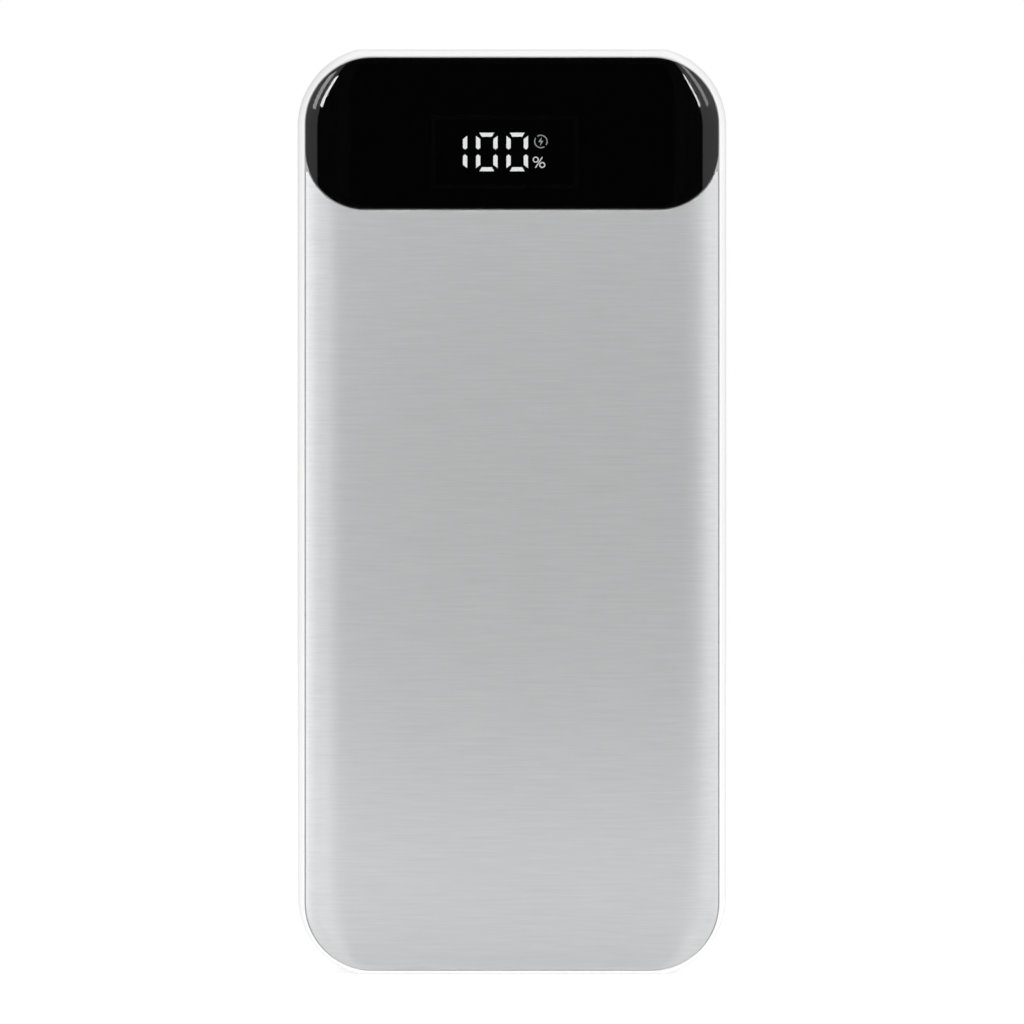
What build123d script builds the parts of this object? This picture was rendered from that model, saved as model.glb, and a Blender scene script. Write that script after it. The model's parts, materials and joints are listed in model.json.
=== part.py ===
from build123d import *

import os

# A two-cell power bank with a numeric charge display, in millimetres.
# X runs to the right as seen from the front, Y from the front (-Y) to the back (+Y), Z up.
# It stands on its plain end, and the origin is the middle of that end's footprint.
# A thin skin (metal panel and black lens) is taped into a plastic frame, which screws and
# clips to a deep back shell holding the cells, the board and the three sockets.

# ---- driving dimensions: the body ----
BODY_W = 70.0
BODY_T = 28.0
BODY_L = 150.5
CORNER_R = 12.6  # corners seen from the front
END_CUT = 0.3  # what the flat ends trim off the corner arcs
ROLL_R = 6.0  # rounding of the long sides, front and back
EDGE_R = 1.2  # rounding of the plastic's end edges
HALF_W = BODY_W / 2
HALF_T = BODY_T / 2
MID_Z = BODY_L / 2

# ---- driving dimensions: walls and layers ----
WALL = 1.8
SKIN_T = 0.8  # metal panel and lens
TAPE_T = 0.2
DECK_T = 1.2  # plastic behind the skin
RIM_STEP = 0.3  # how far the plastic rim lies behind the skin
SKIN_W = 67.3  # the skin seen from the front
SKIN_Z = (0.67, 149.15)
SKIN_CORNER_R = 10.8
SKIN_GAP = 0.15
SKIN_EDGE_R = 0.6
SKIN_BACK_Y = -HALF_T + 5.0  # behind every part of the skin
DECK_FRONT_Y = -HALF_T + SKIN_T + TAPE_T
DECK_BACK_Y = DECK_FRONT_Y + DECK_T
BACK_WALL_Y = HALF_T - WALL
SIDE_WALL_X = HALF_W - WALL
END_WALL_Z = BODY_L - WALL

# ---- driving dimensions: the joint between frame and shell ----
PARTING_Y = -5.0
LIP_H = 1.4
LIP_INSET = 0.95
LIP_GAP = 0.1
HOOK_Z = (30.0, 75.0, 108.0)
HOOK_L = 8.0
HOOK_T = 1.2
HOOK_TIP_Y = -0.7
BARB_Y = (-2.4, -1.2)
BARB_H = 0.45
SHELL_SCREW_X = 29.4
SHELL_SCREW_Z = 121.5
SHELL_SCREW_SEAT_Y = DECK_FRONT_Y + 1.6

# ---- driving dimensions: the lens and its digits ----
LENS_Z0 = 124.4
LENS_R = 9.7
LENS_GAP = 0.1
DIGIT_W = 3.52
DIGIT_H = 6.28
STROKE = 0.7  # of the upright bars
LEVEL_STROKE = 0.66
DIGIT_PITCH = 4.95
LAST_DIGIT_X = 0.85  # middle of the units digit
DIGIT_Z = 133.8
PERCENT_AT = (4.38, 132.1)
BOLT_AT = (4.7, 135.5)
MODULE_X = -1.2
MODULE_W = 22.0
MODULE_H = 10.0
MODULE_FRONT_Y = -HALF_T + SKIN_T + 0.05
MODULE_BACK_Y = MODULE_FRONT_Y + 4.6
SEGMENT_DEPTH = 3.6
DISPLAY_BOARD_T = 0.8
DISPLAY_PIN_X = 13.3  # from the module's middle

# ---- driving dimensions: board and sockets ----
BOARD_W = 54.0
BOARD_Z = (118.3, 147.9)
BOARD_Y = (0.2, 1.4)
BOARD_SCREWS = ((-22.0, 121.7), (22.0, 121.7), (-24.9, 143.4), (24.9, 143.4))
MOUTH_Z = BODY_L - 0.4  # front edge of each socket
USB_A_X = (-16.0, 16.0)
USB_A_W = 13.14
USB_A_H = 5.72
USB_A_L = 13.6
USB_C_W = 8.94
USB_C_H = 3.26
USB_C_L = 8.2
SHEET_T = 0.3  # metal of the sockets
SOCKET_GAP = 0.2

# ---- driving dimensions: the power button ----
BUTTON_Y = -1.5
BUTTON_Z = 135.0
BUTTON_L = 8.6
BUTTON_W = 3.4
BUTTON_GAP = 0.2
BUTTON_PROUD = 0.15
BUTTON_DOME_R = 24.8
SWITCH_X = -27.0  # the face that the plunger comes out of
PLUNGER_X = (-28.3, -26.0)

# ---- driving dimensions: the cells ----
CELL_W = 60.0
CELL_T = 11.7
CELL_Z = (5.2, 113.2)
CELL_FLAP_TOP = 115.2
FOAM_T = 0.25
BOND_T = 0.3
FRONT_CELL_Y = DECK_BACK_Y + FOAM_T
BACK_CELL_Y = FRONT_CELL_Y + CELL_T + BOND_T
STRIP_T = 0.15
STRIP_W = 5.0
STRIP_X = 15.0


# ---- helpers ----
def box(x, y, z):
    """Box between pairs of X, Y and Z."""
    size = Box(x[1] - x[0], y[1] - y[0], z[1] - z[0])
    return Pos(sum(x) / 2, sum(y) / 2, sum(z) / 2) * size


def around(middle, size):
    """The two ends of a length centred on a middle."""
    return (middle - size / 2, middle + size / 2)


def front_prism(sketch, y):
    """Prism of a sketch drawn as seen from the front: sketch x is X, sketch y is Z."""
    plane = Plane((0, y[1], 0), x_dir=(1, 0, 0), z_dir=(0, -1, 0))
    return extrude(plane * sketch, amount=y[1] - y[0])


def side_prism(sketch, x):
    """Prism of a sketch drawn in the YZ plane: sketch x is Y, sketch y is Z."""
    plane = Plane((x[0], 0, 0), x_dir=(0, 1, 0), z_dir=(1, 0, 0))
    return extrude(plane * sketch, amount=x[1] - x[0])


def bar(sketch, z):
    """Prism of a sketch drawn in the XY plane."""
    return Pos(0, 0, z[0]) * extrude(sketch, amount=z[1] - z[0])


def round_at_y(part, y, radius):
    """Fillets every edge of a prism that lies in the plane at y."""
    return fillet(part.edges().filter_by_position(Axis.Y, y, y), radius)


def outline(inset):
    """The body seen from the front, moved inwards by inset."""
    width = BODY_W - 2 * inset
    length = BODY_L + 2 * END_CUT - 2 * inset
    return Pos(0, MID_Z) * RectangleRounded(width, length, CORNER_R - inset)


def skin_outline(grow):
    """The skin seen from the front, moved outwards by grow."""
    length = SKIN_Z[1] - SKIN_Z[0]
    corner_r = SKIN_CORNER_R + grow
    return Pos(0, sum(SKIN_Z) / 2) * RectangleRounded(SKIN_W + 2 * grow, length + 2 * grow, corner_r)


def skin_profile(inset):
    """Cross-section whose front carries the skin, moved inwards by inset."""
    return RectangleRounded(BODY_W - 2 * inset, BODY_T - 2 * inset, ROLL_R - inset)


def plastic_profile(front_y, back_y, half_w, front_r, back_r):
    """Cross-section with its own front and back roundings."""
    sketch = Pos(0, (front_y + back_y) / 2) * Rectangle(2 * half_w, back_y - front_y)
    front = sketch.vertices().group_by(Axis.Y)[0]
    sketch = fillet(front, front_r)
    back = sketch.vertices().sort_by(Axis.Y)[-2:]
    return fillet(back, back_r)


def plastic_blank(inset=0.0, edge_r=EDGE_R):
    """The outside of the plastic body, moved inwards by inset."""
    front_y = -HALF_T + RIM_STEP + inset
    back_y = HALF_T - inset
    front_r = ROLL_R - RIM_STEP - inset
    profile = plastic_profile(front_y, back_y, HALF_W - inset, front_r, ROLL_R - inset)
    plan = front_prism(outline(inset), (front_y, back_y))
    for y in (front_y, back_y):
        plan = round_at_y(plan, y, edge_r)
    return bar(profile, (inset, BODY_L - inset)) & plan


def cavity():
    """The room inside the frame and the back shell."""
    front_r = ROLL_R - SKIN_T - TAPE_T - DECK_T
    profile = plastic_profile(DECK_BACK_Y, BACK_WALL_Y, SIDE_WALL_X, front_r, ROLL_R - WALL)
    plan = front_prism(outline(WALL), (DECK_BACK_Y, BACK_WALL_Y))
    return bar(profile, (WALL, END_WALL_Z)) & plan


def pin(x, z, radius, y):
    """Round pin or hole along Y."""
    return front_prism(Pos(x, z) * Circle(radius), y)


# ---- the skin ----
def skin():
    """Metal panel and lens in one, before they are parted."""
    plan_y = (-HALF_T, SKIN_BACK_Y)
    plan = front_prism(skin_outline(0), plan_y)
    plan = round_at_y(plan, -HALF_T, SKIN_EDGE_R)
    outside = bar(skin_profile(0), (0, BODY_L))
    inside = bar(skin_profile(SKIN_T), (-1, BODY_L + 1))
    return (outside - inside) & plan


def lens_area(grow=0.0):
    """Prism over the lens: its lower corners are round, and its top runs past the body."""
    width = SKIN_W + 2 * grow + 0.1
    height = 2 * (BODY_L - LENS_Z0) + 2 * grow
    sketch = Pos(0, BODY_L) * RectangleRounded(width, height, LENS_R + grow)
    return front_prism(sketch, (-HALF_T - 1, SKIN_BACK_Y + 1))


def display_lens():
    return skin() & lens_area()


def front_panel():
    return skin() - lens_area(LENS_GAP)


def tape_sheet(half_w, z, radius):
    sketch = Pos(0, sum(z) / 2) * RectangleRounded(2 * half_w, z[1] - z[0], radius)
    return front_prism(sketch, (DECK_FRONT_Y - TAPE_T, DECK_FRONT_Y))


def panel_tape():
    return tape_sheet(HALF_W - 6.4, (3.0, LENS_Z0 - 1.0), 5.0)


def lens_tape():
    window = Pos(MODULE_X, DIGIT_Z) * Rectangle(MODULE_W + 2, MODULE_H + 2)
    cut = front_prism(window, (-HALF_T, 0))
    return tape_sheet(HALF_W - 6.4, (LENS_Z0 + 0.6, BODY_L - 2.4), 5.0) - cut


# ---- the plastic case ----
def skin_recess():
    """What the skin and its tape take out of the frame."""
    plan = front_prism(skin_outline(SKIN_GAP), (-HALF_T - 1, SKIN_BACK_Y))
    return plan - bar(skin_profile(SKIN_T + TAPE_T), (-1, BODY_L + 1))


def joint_ring(inset, depth):
    """Ring inside the wall at the parting line, for the frame's lip and the shell's groove."""
    y = (PARTING_Y, PARTING_Y + depth)
    slab = box((-HALF_W, HALF_W), y, (0, BODY_L))
    return plastic_blank(inset, 0.3) & slab


def side_hook(side, z):
    """Cantilever clip that reaches from the frame into the back shell."""
    x_in = SIDE_WALL_X - 0.1 - HOOK_T
    root = box((x_in, SIDE_WALL_X + 0.3), (-9.0, PARTING_Y - 0.1), around(z, HOOK_L))
    tab = box((x_in, SIDE_WALL_X - 0.1), (-9.0, HOOK_TIP_Y), around(z, HOOK_L))
    barb_x = (SIDE_WALL_X - 0.2, SIDE_WALL_X - 0.1 + BARB_H)
    hook = root + tab + box(barb_x, BARB_Y, around(z, HOOK_L))
    return hook if side > 0 else mirror(hook, about=Plane.YZ)


def hook_pocket(side, z):
    """Where a side hook's barb catches in the shell's wall."""
    y = (BARB_Y[0] - 0.3, BARB_Y[1] + 0.3)
    x = (SIDE_WALL_X - 0.5, SIDE_WALL_X + BARB_H + 0.15)
    pocket = box(x, y, around(z, HOOK_L + 0.8))
    return pocket if side > 0 else mirror(pocket, about=Plane.YZ)


def front_frame():
    front_half = box((-HALF_W, HALF_W), (-HALF_T, PARTING_Y), (0, BODY_L))
    frame = (plastic_blank() & front_half) - cavity()
    frame += joint_ring(LIP_INSET, LIP_H) - cavity()
    for side in (-1, 1):
        for z in HOOK_Z:
            frame += side_hook(side, z)
        x = side * SHELL_SCREW_X
        frame += pin(x, SHELL_SCREW_Z, 2.8, (DECK_BACK_Y - 0.5, PARTING_Y - 1.0))
        frame -= pin(x, SHELL_SCREW_Z, 1.1, (-HALF_T, 0))
        frame -= pin(x, SHELL_SCREW_Z, 2.1, (-HALF_T, SHELL_SCREW_SEAT_Y))
        stake_x = MODULE_X + side * DISPLAY_PIN_X
        frame += pin(stake_x, DIGIT_Z, 0.85, (DECK_BACK_Y - 0.4, MODULE_BACK_Y + 1.4))
    window = Pos(MODULE_X, DIGIT_Z) * Rectangle(MODULE_W + 0.6, MODULE_H + 0.6)
    return frame - skin_recess() - front_prism(window, (-HALF_T, DECK_BACK_Y + 0.5))


def usb_a_opening(x):
    grow = 2 * SOCKET_GAP
    sketch = Pos(x, 0) * RectangleRounded(USB_A_W + grow, USB_A_H + grow, 0.7)
    return chamfered_opening(sketch)


def usb_c_opening():
    grow = 2 * SOCKET_GAP
    return chamfered_opening(SlotOverall(USB_C_W + grow, USB_C_H + grow))


def chamfered_opening(sketch):
    """Hole through the socket end, with a bevel outside."""
    hole = bar(sketch, (END_WALL_Z - 1, BODY_L))
    flare = Pos(0, 0, BODY_L - 0.35) * extrude(sketch, amount=0.5, taper=-45)
    return hole + flare


def button_opening():
    sketch = Pos(BUTTON_Y, BUTTON_Z) * Rot(0, 0, 90)
    sketch = sketch * SlotOverall(BUTTON_L + 2 * BUTTON_GAP, BUTTON_W + 2 * BUTTON_GAP)
    return side_prism(sketch, (-HALF_W - 1, -SIDE_WALL_X + 1))


def shell_posts():
    """Bosses and ribs that stand on the inside of the back wall."""
    root_y = BACK_WALL_Y + 0.3
    posts = []
    for x, z in BOARD_SCREWS:
        posts.append(pin(x, z, 2.2, (BOARD_Y[1], root_y)))
    for side in (-1, 1):
        x = side * SHELL_SCREW_X
        posts.append(pin(x, SHELL_SCREW_Z, 2.3, (PARTING_Y - 0.9, root_y)))
        wall_x = sorted((side * (SHELL_SCREW_X + 1), side * (SIDE_WALL_X + 0.3)))
        posts.append(box(wall_x, (-3.0, root_y - 1.0), around(SHELL_SCREW_Z, 1.2)))
        rib_x = sorted((side * (CELL_W / 2 + 0.4), side * (SIDE_WALL_X + 0.3)))
        for z in (14.0, 55.0, 95.0):
            posts.append(box(rib_x, (2.0, root_y - 1.0), around(z, 1.2)))
    return posts


def back_shell():
    back_half = box((-HALF_W, HALF_W), (PARTING_Y, HALF_T), (0, BODY_L))
    shell = (plastic_blank() & back_half) - cavity()
    shell -= joint_ring(LIP_INSET - LIP_GAP, LIP_H + LIP_GAP)
    for post in shell_posts():
        shell += post
    for x, z in BOARD_SCREWS:
        shell -= pin(x, z, 0.85, (0, 9.0))
    for side in (-1, 1):
        shell -= pin(side * SHELL_SCREW_X, SHELL_SCREW_Z, 1.0, (PARTING_Y - 2, 5.0))
        for z in HOOK_Z:
            shell -= hook_pocket(side, z)
    for x in USB_A_X:
        shell -= usb_a_opening(x)
    return shell - usb_c_opening() - button_opening()


def screw(x, z, head_y, head_r, shank_r, length):
    """Pan-head screw pointing to +Y, with a cross recess, its head's underside at head_y."""
    body = pin(x, z, head_r, (head_y - 1.0, head_y)) + pin(x, z, shank_r, (head_y, head_y + length))
    recess_y = (head_y - 1.1, head_y - 0.5)
    slot = box(around(x, 0.4), recess_y, around(z, 1.8)) + box(around(x, 1.8), recess_y, around(z, 0.4))
    return body - slot


def shell_screws():
    x = SHELL_SCREW_X
    return [screw(side * x, SHELL_SCREW_Z, SHELL_SCREW_SEAT_Y, 1.8, 0.95, 13.0) for side in (-1, 1)]


def board_screws():
    return [screw(x, z, BOARD_Y[0], 1.7, 0.8, 7.0) for x, z in BOARD_SCREWS]


# ---- the display ----
def upright_segment(right, upper):
    """One upright bar of a digit, mitred at its outer end and pointed at the middle."""
    outer, inner = DIGIT_W / 2, DIGIT_W / 2 - STROKE
    tip, shoulder = 0.40, 0.67
    points = [
        (outer, DIGIT_H / 2 - 0.51),
        (inner, DIGIT_H / 2 - 1.05),
        (inner, shoulder),
        ((outer + inner) / 2, tip),
        (outer, shoulder),
    ]
    sx = 1 if right else -1
    sy = 1 if upper else -1
    return make_face(Polyline([(sx * x, sy * y) for x, y in points], close=True))


def level_segment(upper):
    """The top or bottom bar of a digit."""
    edge, inner = DIGIT_H / 2, DIGIT_H / 2 - LEVEL_STROKE
    sy = 1 if upper else -1
    points = [(-1.2, edge), (1.2, edge), (0.82, inner), (-0.82, inner)]
    return make_face(Polyline([(x, sy * y) for x, y in points], close=True))


def middle_segment():
    points = [(-0.98, 0), (-0.68, 0.32), (0.68, 0.32), (0.98, 0), (0.68, -0.32), (-0.68, -0.32)]
    return make_face(Polyline(points, close=True))


def zero_digit():
    uprights = [upright_segment(right, upper) for right in (False, True) for upper in (False, True)]
    return uprights + [level_segment(True), level_segment(False)]


def one_digit():
    return [upright_segment(True, True), upright_segment(True, False)]


def segment_solids(shapes, x, z):
    """Light guides of resin that stand in the display's housing."""
    y = (MODULE_FRONT_Y, MODULE_FRONT_Y + SEGMENT_DEPTH)
    return [front_prism(Pos(x, z) * shape, y) for shape in shapes]


def lit_segments():
    tens_x = LAST_DIGIT_X - DIGIT_PITCH
    solids = segment_solids(one_digit(), tens_x - DIGIT_PITCH, DIGIT_Z)
    for x in (tens_x, LAST_DIGIT_X):
        solids += segment_solids(zero_digit(), x, DIGIT_Z)
    return solids


def unlit_segments():
    solids = []
    for x in (LAST_DIGIT_X - DIGIT_PITCH, LAST_DIGIT_X):
        solids += segment_solids([middle_segment()], x, DIGIT_Z)
    return solids


def percent_symbol():
    ring = Circle(0.5) - Circle(0.3)
    slash = Rot(0, 0, 57) * Rectangle(2.1, 0.19)
    shapes = [Pos(-0.52, 0.45) * ring, slash, Pos(0.54, -0.42) * ring]
    return segment_solids(shapes, *PERCENT_AT)


def bolt_symbol():
    """A bolt inside a ring that is open at its upper left and lower right."""
    points = [(0.14, 0.75), (-0.42, -0.08), (-0.04, -0.08), (-0.14, -0.75), (0.42, 0.11), (0.04, 0.11)]
    ring = Circle(1.1) - Circle(0.92) - Rot(0, 0, 135) * Rectangle(2.6, 0.4)
    shapes = [make_face(Polyline(points, close=True)), *ring.faces()]
    return segment_solids(shapes, *BOLT_AT)


def display_housing():
    body = box(
        around(MODULE_X, MODULE_W),
        (MODULE_FRONT_Y, MODULE_BACK_Y),
        around(DIGIT_Z, MODULE_H),
    )
    for solid in lit_segments() + unlit_segments() + percent_symbol() + bolt_symbol():
        body -= solid
    return body


def display_board():
    board_y = (MODULE_BACK_Y, MODULE_BACK_Y + DISPLAY_BOARD_T)
    board = box(around(MODULE_X, MODULE_W + 8), board_y, around(DIGIT_Z, MODULE_H + 3))
    for side in (-1, 1):
        board -= pin(MODULE_X + side * DISPLAY_PIN_X, DIGIT_Z, 0.95, (board_y[0] - 1, board_y[1] + 1))
    return board


def display_gasket():
    """Foam ring that keeps the digits' light off the lens's edges."""
    y = (DECK_BACK_Y, MODULE_BACK_Y)
    outside = box(around(MODULE_X, MODULE_W + 2.4), y, around(DIGIT_Z, MODULE_H + 2.4))
    inside = box(around(MODULE_X, MODULE_W), y, around(DIGIT_Z, MODULE_H))
    return outside - inside


def strip_along(points, radius, thickness, x):
    """Flat strip whose long path lies in the YZ plane, as wide as the pair x."""
    path = FilletPolyline(*points, radius=radius)
    return side_prism(trace(path, thickness), x)


def display_ribbon():
    back = MODULE_BACK_Y + DISPLAY_BOARD_T + 0.1
    points = [(back, 132.5), (back, 128.6), (-0.8, 128.6), (-0.8, 124.5)]
    return strip_along(points, 1.6, 0.2, around(MODULE_X, 6.0))


def ribbon_socket():
    body = box(around(MODULE_X, 8.0), (-1.5, BOARD_Y[0]), (121.6, 124.5))
    latch = box(around(MODULE_X, 7.0), (-1.9, -1.5), (121.8, 122.8))
    return body + latch


# ---- the board ----
def main_board():
    sketch = Pos(0, sum(BOARD_Z) / 2) * RectangleRounded(BOARD_W, BOARD_Z[1] - BOARD_Z[0], 4.0)
    board = front_prism(sketch, BOARD_Y)
    for x in USB_A_X:
        z = (MOUTH_Z - USB_A_L - 0.15, BODY_L)
        board -= box(around(x, USB_A_W + 0.3), (0, 2), z)
    board -= box(around(0, USB_C_W + 0.3), (0, 2), (MOUTH_Z - USB_C_L - 0.15, BODY_L))
    for x, z in BOARD_SCREWS:
        board -= pin(x, z, 1.1, (0, 2))
    return board


def on_front(x, z, w, h, t):
    """Block that stands t proud of the board's front face."""
    return box(around(x, w), (BOARD_Y[0] - t, BOARD_Y[0]), around(z, h))


def on_back(x, z, w, h, t):
    """Block that stands t proud of the board's back face."""
    return box(around(x, w), (BOARD_Y[1], BOARD_Y[1] + t), around(z, h))


def power_inductor():
    block = on_front(13.5, 128.6, 10.2, 10.2, 4.2)
    return fillet(block.edges().filter_by(Axis.Y), 1.6)


def controller_chip():
    return on_front(-13.0, 127.5, 5.0, 5.0, 0.8)


def mosfets():
    return [on_back(-13.0 + 4.6 * i, 129.5, 3.3, 3.3, 0.9) for i in range(4)]


def ceramic_capacitors():
    row = [on_front(7.4 + 3.0 * i, 121.2, 1.25, 2.0, 1.1) for i in range(4)]
    column = [on_front(-19.0, 124.8 + 2.4 * i, 2.0, 1.25, 1.1) for i in range(3)]
    return row + column


def chip_resistors():
    row = [on_front(-15.0 + 1.4 * i, 132.0, 0.5, 1.0, 0.35) for i in range(5)]
    column = [on_front(-8.4, 124.6 + 1.2 * i, 1.0, 0.5, 0.35) for i in range(5)]
    return row + column


def bulk_capacitors():
    """Two aluminium cans lying flat on the board's back."""
    cans = []
    for x in (9.5, 17.0):
        can = pin(x, 129.5, 3.15, (BOARD_Y[1], BOARD_Y[1] + 5.8))
        cans.append(can)
    return cans


# ---- the sockets ----
def spring_leaf(x, z, wall_y, inward):
    """Stamped finger that bulges from a socket's wall into its mouth."""
    bulge = 0.38 * inward
    points = [(wall_y, z - 3.0), (wall_y, z + 1.4), (wall_y + bulge, z + 0.5), (wall_y + bulge, z - 0.1)]
    return side_prism(make_face(Polyline(points, close=True)), around(x, 2.2))


def usb_a_shell(x):
    z = (MOUTH_Z - USB_A_L, MOUTH_Z)
    outside = bar(Pos(x, 0) * RectangleRounded(USB_A_W, USB_A_H, 0.5), z)
    inside_w, inside_h = USB_A_W - 2 * SHEET_T, USB_A_H - 2 * SHEET_T
    shell = outside - bar(Pos(x, 0) * RectangleRounded(inside_w, inside_h, 0.25), (z[0] + 0.5, z[1] + 1))
    for dx in (-3.3, 3.3):
        for side in (-1, 1):
            shell += spring_leaf(x + dx, MOUTH_Z - 3.4, side * inside_h / 2, -side)
    for side in (-1, 1):
        wing_x = sorted((x + side * (USB_A_W / 2 - 0.1), x + side * (USB_A_W / 2 + 0.95)))
        shell += box(wing_x, (BOARD_Y[0] - 0.3, BOARD_Y[0]), (z[0] + 3.0, z[0] + 6.0))
    return shell


def usb_a_tongue(x):
    back_z = MOUTH_Z - USB_A_L + 0.5
    front_y = -(USB_A_H / 2 - SHEET_T) + 0.7
    base_w, base_h = USB_A_W - 2 * SHEET_T - 0.1, USB_A_H - 2 * SHEET_T - 0.1
    base = box(around(x, base_w), around(0, base_h), (back_z, back_z + 1.8))
    tongue = box(around(x, 11.1), (front_y, front_y + 1.84), (back_z, MOUTH_Z - 0.9))
    tip = tongue.edges().filter_by(Axis.X).group_by(Axis.Z)[-1]
    return base + chamfer(tip, 0.35)


def usb_a_contacts(x):
    """Four springy contacts on the tongue's back face."""
    y0 = -(USB_A_H / 2 - SHEET_T) + 0.7 + 1.84
    top_z = MOUTH_Z - 1.6
    contacts = []
    for dx in (-3.5, -1.0, 1.0, 3.5):
        points = [(y0, top_z), (y0, top_z - 7.6), (y0 + 0.12, top_z - 7.6), (y0 + 0.16, top_z - 2.6)]
        points += [(y0 + 0.34, top_z - 1.4), (y0 + 0.12, top_z)]
        contacts.append(side_prism(make_face(Polyline(points, close=True)), around(x + dx, 1.0)))
    return contacts


def usb_c_shell():
    z = (MOUTH_Z - USB_C_L, MOUTH_Z)
    inside = SlotOverall(USB_C_W - 2 * SHEET_T, USB_C_H - 2 * SHEET_T)
    shell = bar(SlotOverall(USB_C_W, USB_C_H), z) - bar(inside, (z[0] + 0.5, z[1] + 1))
    for side in (-1, 1):
        wing_x = sorted((side * (USB_C_W / 2 - 0.5), side * (USB_C_W / 2 + 0.95)))
        shell += box(wing_x, (BOARD_Y[0] - 0.3, BOARD_Y[0]), (z[0] + 2.0, z[0] + 4.0)) - bar(inside, z)
    return shell


def usb_c_tongue():
    back_z = MOUTH_Z - USB_C_L + 0.5
    base = bar(SlotOverall(USB_C_W - 2 * SHEET_T - 0.1, USB_C_H - 2 * SHEET_T - 0.1), (back_z, back_z + 1.6))
    tongue = box(around(0, 6.69), around(0, 0.7), (back_z, MOUTH_Z - 0.6))
    return base + fillet(tongue.edges().filter_by(Axis.Y).group_by(Axis.Z)[-1], 0.6)


def usb_c_contacts():
    """Twelve contacts on each face of the tongue."""
    contacts = []
    for i in range(12):
        x = around(-2.75 + 0.5 * i, 0.25)
        for side in (-1, 1):
            y = sorted((side * 0.35, side * 0.39))
            contacts.append(box(x, y, (MOUTH_Z - 4.6, MOUTH_Z - 1.0)))
    return contacts


# ---- the power button and its switch ----
def button_slot(length, width, x):
    sketch = Pos(BUTTON_Y, BUTTON_Z) * Rot(0, 0, 90) * SlotOverall(length, width)
    return side_prism(sketch, x)


def power_button():
    """Domed cap, a flange that keeps it in, and a stem that meets the switch."""
    face_x = -HALF_W - BUTTON_PROUD
    cap = button_slot(BUTTON_L, BUTTON_W, (face_x, -SIDE_WALL_X + 0.5))
    dome_at = Pos(face_x + BUTTON_DOME_R, BUTTON_Y, BUTTON_Z) * Rot(90, 0, 0)
    cap &= dome_at * Cylinder(BUTTON_DOME_R, BUTTON_W + 2)
    cap = fillet(cap.edges().group_by(Axis.X)[0] + cap.edges().group_by(Axis.X)[1], 0.25)
    flange = button_slot(BUTTON_L + 1.6, BUTTON_W + 1.4, (-SIDE_WALL_X + 0.3, -SIDE_WALL_X + 1.2))
    stem_x = (-SIDE_WALL_X + 0.8, PLUNGER_X[0] - 0.02)
    stem = box(stem_x, around(BUTTON_Y, 1.6), around(BUTTON_Z, 3.0))
    return cap + flange + stem


def switch_body():
    x = (SWITCH_X, SWITCH_X + 3.6)
    y = (BUTTON_Y - 1.7, BOARD_Y[0])
    body = box(x, y, around(BUTTON_Z, 6.0))
    guide = box((SWITCH_X - 1, PLUNGER_X[1] + 0.8), around(BUTTON_Y, 1.5), around(BUTTON_Z, 2.9))
    return body - guide


def switch_plunger():
    return box(PLUNGER_X, around(BUTTON_Y, 1.3), around(BUTTON_Z, 2.7))


# ---- the cells ----
def pouch_cell(front_y):
    """Foil pouch with rounded long edges and its sealed flap at the top."""
    y = (front_y, front_y + CELL_T)
    body = bar(Pos(0, sum(y) / 2) * RectangleRounded(CELL_W, CELL_T, 2.6), CELL_Z)
    body = fillet(body.edges().group_by(Axis.Z)[0] + body.edges().group_by(Axis.Z)[-1], 1.0)
    flap = box(around(0, CELL_W - 4), around(sum(y) / 2, 0.5), (CELL_Z[1] - 0.5, CELL_FLAP_TOP))
    return body + flap


def cell_strips(x):
    """Nickel strips from both cells to one pole of the board, one on each face of it."""
    front_mid = FRONT_CELL_Y + CELL_T / 2
    back_mid = BACK_CELL_Y + CELL_T / 2
    strips = []
    for cell_y, board_y in (
        (front_mid, BOARD_Y[0] - STRIP_T / 2),
        (back_mid, BOARD_Y[1] + STRIP_T / 2),
    ):
        points = [(cell_y, CELL_FLAP_TOP), (cell_y, 116.8), (board_y, 116.8), (board_y, 119.8)]
        strips.append(strip_along(points, 0.7, STRIP_T, around(x, STRIP_W)))
    return strips


def cell_bond_tape():
    y = (FRONT_CELL_Y + CELL_T, BACK_CELL_Y)
    return box(around(0, 44), y, (20, 100))


def front_foam():
    return box(around(0, 48), (DECK_BACK_Y, FRONT_CELL_Y), (16, 104))


def bottom_foam():
    return box(around(0, 40), (-8, 8), (WALL + 0.05, CELL_Z[0]))


THERMISTOR_X = 5.2
THERMISTOR_Y = -3.2
THERMISTOR_TOP = 116.3


def thermistor():
    """Glass bead standing on the front cell beside its flap."""
    return Pos(THERMISTOR_X, THERMISTOR_Y, CELL_Z[1]) * extrude(
        Circle(0.9), amount=THERMISTOR_TOP - CELL_Z[1]
    )


def thermistor_leads():
    leads = []
    board_y = BOARD_Y[0] - 0.26
    for dx in (-0.45, 0.45):
        x = THERMISTOR_X + dx
        points = [
            (x, THERMISTOR_Y, THERMISTOR_TOP),
            (x, THERMISTOR_Y, 117.9),
            (x, board_y, 118.7),
            (x, board_y, 120.0),
        ]
        path = FilletPolyline(*points, radius=0.8)
        leads.append(sweep(Plane(points[0]) * Circle(0.25), path=path))
    return leads


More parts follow.
